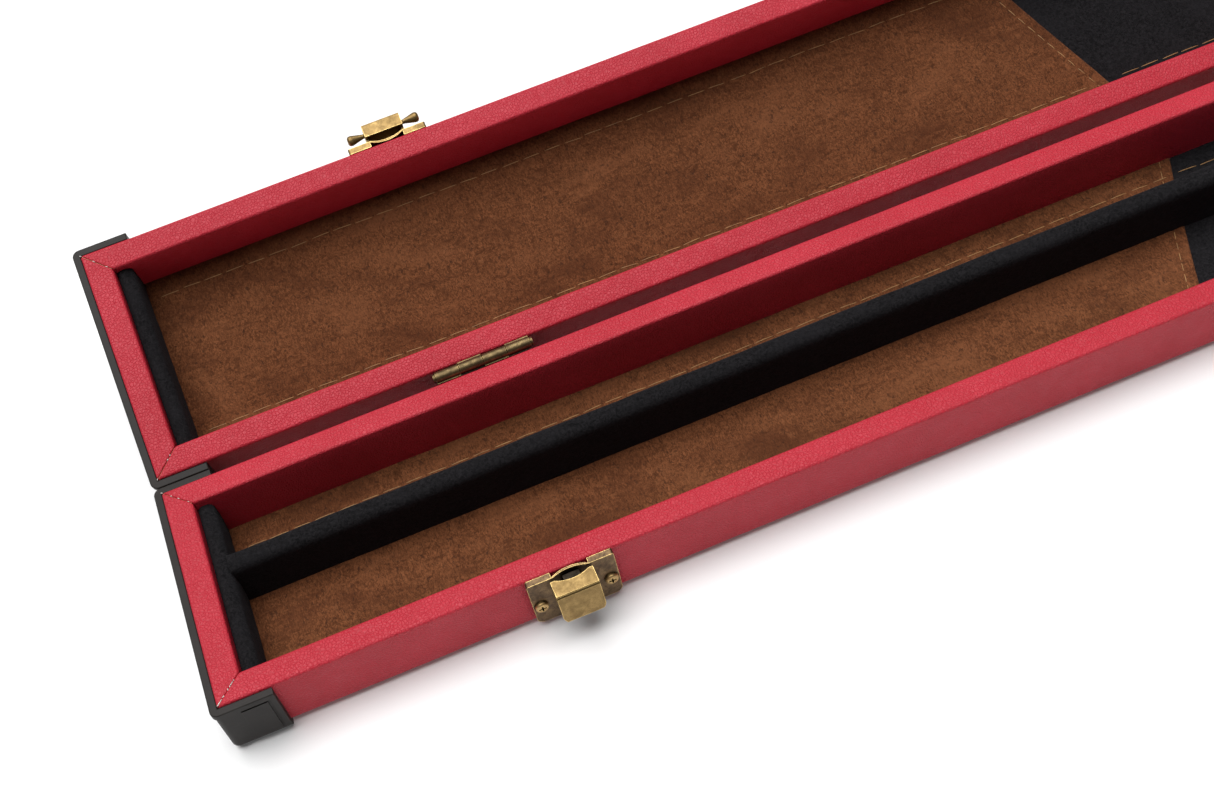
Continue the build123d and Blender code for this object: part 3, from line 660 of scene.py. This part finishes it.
# ---------------------------------------------------------------- pads and divider
def rounded_section(low, high, bottom, top, radius, steps=5):
    """Points round an upright bar: up the front, over the rounded top, down the back."""
    left = [(low, z) for z in spread(bottom, top - radius, 2.2)]
    left += arc((low + radius, top - radius), radius, 180, 90, steps)[1:]
    right_side = arc((high - radius, top - radius), radius, 90, 0, steps)
    right_side += [(high, z) for z in reversed(spread(bottom, top - radius, 2.2))][1:]
    flat = [(a, top) for a in spread(low + radius, high - radius, 1.6)[1:-1]]
    return left + flat + right_side


def end_pads(name, half):
    """Crowned pads with soft creases, tucked in at both ends."""
    for side, word in ((-1, "left"), (1, "right")):
        points, faces, rings = [], [], []
        section = rounded_section(PAD_X, CAVITY_X - 0.05, Z_BOARD + 0.1, PAD_TOP, PAD_ROUND)
        ends = [0.05, 0.25, 0.7, 1.5, 3.0]
        places = [-CAVITY_Y + e for e in ends] + spread(-CAVITY_Y + 4.5, CAVITY_Y - 4.5, 2.5)
        places += [CAVITY_Y - e for e in reversed(ends)]
        for y in places:
            tuck = 0.22 * max(0.0, 1 - (CAVITY_Y - abs(y)) / 3.0) ** 2
            ring = []
            for x, z in section:
                share = min(1.0, (CAVITY_X - x) / (CAVITY_X - PAD_X))
                crown = 0.45 * share * math.sin(math.pi * min(1, (z - Z_BOARD) / (PAD_TOP - Z_BOARD)) ** 0.8)
                crease = 0.16 * ripple(y, 2.2 * z, 9, 2.2) + 0.10 * ripple(y, z, 3.8, 0.7)
                lift = 0.22 * ripple(y, 0, 13, 0.4) - 0.9 * tuck
                grow = share * (crown + crease - tuck)
                high = (z - Z_BOARD) / (PAD_TOP - Z_BOARD)
                ring.append((side * (x - grow), y, z + high * lift))
            rings.append(ring)
        loft([r if len(r) % 2 == 0 else r + [r[-1]] for r in rings], points, faces)
        piece = finish_mesh(f"{name}_pad_{word}", points, faces, half, name, CLOTH, 60)
        clean(piece)
        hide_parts(f"{name}_{word}_pad")


def clean(piece):
    """Welds doubled points and drops empty faces."""
    work = bmesh.new()
    work.from_mesh(piece.data)
    bmesh.ops.remove_doubles(work, verts=work.verts, dist=1e-6)
    bmesh.ops.dissolve_degenerate(work, dist=1e-6, edges=work.edges)
    bmesh.ops.recalc_face_normals(work, faces=work.faces)
    work.to_mesh(piece.data)
    work.free()


def divider_cloth():
    """Cloth wrapped over the divider's bar, open underneath."""
    points, faces, rings = [], [], []
    low, high = DIVIDER
    outer = rounded_section(low, high, Z_FLOOR + 0.05, DIVIDER_TOP, DIVIDER_ROUND)
    mid = (low + high) / 2
    for x in spread(-PAD_X - 0.4, PAD_X + 0.4, 5):
        ring_out = []
        for y, z in outer:
            loose = 0.16 * ripple(x, 2 * z + 3 * y, 19, 0.9) + 0.08 * ripple(x, z, 7, 3.1)
            loose *= (z - Z_FLOOR) / (DIVIDER_TOP - Z_FLOOR)
            out_y = (1 if y > mid else -1) * min(1, abs(y - mid) / (high - mid))
            up = max(0.0, (z - DIVIDER_TOP + DIVIDER_ROUND) / DIVIDER_ROUND)
            ring_out.append((x, y + loose * out_y, z + loose * up))
        ring_in = [(x, mid + (y - mid) * (high - mid - DIVIDER_CLOTH) / (high - mid),
                    min(z, DIVIDER_TOP - DIVIDER_CLOTH + 0.02)) for y, z in outer]
        rings.append(ring_out + ring_in[::-1])
    loft(rings, points, faces)
    piece = finish_mesh("divider_cloth", points, faces, BASE, "base", CLOTH, 60)
    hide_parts("divider_cover")


for half_name, half_frame in HALVES:
    leather(half_name, half_frame)
    seam_fluff(half_name, half_frame)
    linings(half_name, half_frame)
    stitching(half_name, half_frame)
    end_pads(half_name, half_frame)
divider_cloth()

# ---------------------------------------------------------------- floor, light
FLOOR_REACH = 20                  # metres
floor_mesh = bpy.data.meshes.new("floor")
floor_corners = [(x * FLOOR_REACH, y * FLOOR_REACH, 0) for x, y in ((-1, -1), (1, -1), (1, 1), (-1, 1))]
floor_mesh.from_pydata(floor_corners, [], [(0, 1, 2, 3)])
floor = bpy.data.objects.new("floor", floor_mesh)
bpy.context.scene.collection.objects.link(floor)
floor_nodes = Nodes("floor_paper")
floor_mesh.materials.append(floor_nodes.set(
    Base_Color=(0.88, 0.88, 0.88), Roughness=0.9, Specular_IOR_Level=0.1,
    Emission_Color=(1.0, 1.0, 1.0), Emission_Strength=0.06))

FROM_LEFT, FROM_BEHIND = 6, 11  # degrees off the vertical that the overhead light leans
SOFTNESS = 62                     # degrees across, as seen from the case
SUN_STRENGTH = 4.15
sun_data = bpy.data.lights.new("overhead", "SUN")
sun_data.energy = SUN_STRENGTH
sun_data.angle = math.radians(SOFTNESS)
sun = bpy.data.objects.new("overhead", sun_data)
bpy.context.scene.collection.objects.link(sun)
towards = Vector((-math.tan(math.radians(FROM_LEFT)), math.tan(math.radians(FROM_BEHIND)), 1))
sun.matrix_world = towards.to_track_quat("Z", "Y").to_matrix().to_4x4()

# A bright low horizon and a dim sky: the fronts of the walls catch light that the cavities don't.
HORIZON, SKY = 0.85, 0.04         # strengths
HORIZON_TOP, SKY_FROM = 0.03, 0.16    # heights on the unit sphere between which they blend
world = bpy.data.worlds.new("studio")
world.use_nodes = True
sky = world.node_tree
direction = sky.nodes.new("ShaderNodeTexCoord")
height = sky.nodes.new("ShaderNodeSeparateXYZ")
glow = sky.nodes.new("ShaderNodeMapRange")
for socket, number in zip(glow.inputs[1:5], (HORIZON_TOP, SKY_FROM, HORIZON, SKY)):
    socket.default_value = number
sky.links.new(direction.outputs["Generated"], height.inputs[0])
sky.links.new(height.outputs["Z"], glow.inputs["Value"])
sky.links.new(glow.outputs[0], sky.nodes["Background"].inputs["Strength"])
sky.nodes["Background"].inputs["Color"].default_value = (1, 1, 1, 1)
bpy.context.scene.world = world
bpy.context.scene.view_settings.view_transform = "Standard"
